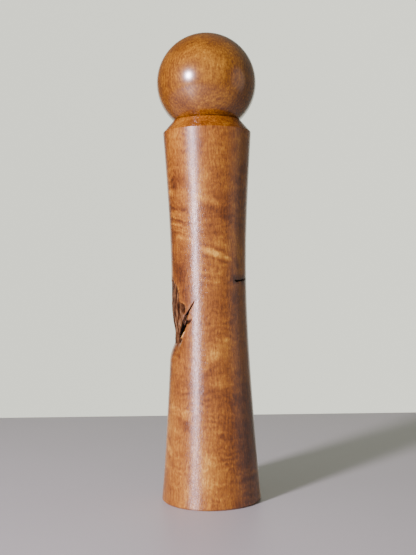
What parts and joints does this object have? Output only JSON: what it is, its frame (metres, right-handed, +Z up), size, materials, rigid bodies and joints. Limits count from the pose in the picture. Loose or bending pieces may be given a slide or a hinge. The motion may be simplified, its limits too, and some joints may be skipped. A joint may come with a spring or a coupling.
{
  "type": "pepper mill",
  "caption": "Tall turned wooden pepper mill with a waisted body and a ball head that lifts off a hexagonal shaft and turns a ceramic cone burr set by a knob under the base.",
  "frame": {"origin": "centre of the base, on the surface that the mill stands on", "axes": "+Z up the shaft from the base to the ball head, -Y towards the side with the diagonal bark crack on its left"},
  "size_m": [0.064, 0.064, 0.3],
  "materials": {
    "body_wood": "Figured golden-brown hardwood under a hard satin to gloss oil finish, with a dark bark pocket, a crack and a knot left in it.",
    "head_wood": "The same hardwood, darker and polished to a high gloss.",
    "socket_plastic": "Moulded black plastic.",
    "spring_steel": "Bright spring steel.",
    "housing_plastic": "Moulded black plastic with a fine grain.",
    "burr_ceramic": "Fired white technical ceramic, unglazed.",
    "screw_steel": "Zinc-plated steel.",
    "shaft_aluminium": "Drawn aluminium bar with fine lengthwise lines.",
    "bush_nylon": "Natural nylon.",
    "knob_plastic": "Moulded black plastic.",
    "nut_brass": "Turned brass."
  },
  "bodies": {
    "body": {"mill_body": "body_wood", "burr_housing": "housing_plastic", "shaft_guide": "housing_plastic", "ring_burr": "burr_ceramic", "burr_retainer": "housing_plastic", "housing_screws": "screw_steel"},
    "drive": {"drive_shaft": "shaft_aluminium", "shaft_bush": "bush_nylon", "upper_clip": "spring_steel", "lower_clip": "spring_steel", "spring_washer": "screw_steel", "burr_spring": "spring_steel"},
    "burr": {"cone_burr": "burr_ceramic", "feed_auger": "housing_plastic", "knob_washer": "screw_steel"},
    "knob": {"adjusting_knob": "knob_plastic", "knob_nut": "nut_brass"},
    "head": {"head_ball": "head_wood", "shaft_socket": "socket_plastic", "socket_clip": "spring_steel"}
  },
  "joints": [
    {"name": "grind_turn", "type": "hinge", "parent": "body", "child": "drive", "pos_m": [0, 0, 0.046], "axis": [0, 0, 1], "continuous": true},
    {"name": "head_lift", "type": "slide", "parent": "drive", "child": "head", "axis": [0, 0, 1], "range_m": [0, 0.045]},
    {"name": "burr_rise", "type": "slide", "parent": "drive", "child": "burr", "axis": [0, 0, 1], "range_m": [-0.0006, 0.0004], "deforming": ["burr_spring"]},
    {"name": "adjust_turn", "type": "hinge", "parent": "burr", "child": "knob", "pos_m": [0, 0, 0.009], "axis": [0, 0, 1], "range_deg": [-270, 180]}
  ],
  "couplings": [
    {"joint": "adjust_turn", "follows": "burr_rise", "rad_per_m": 7854}
  ]
}
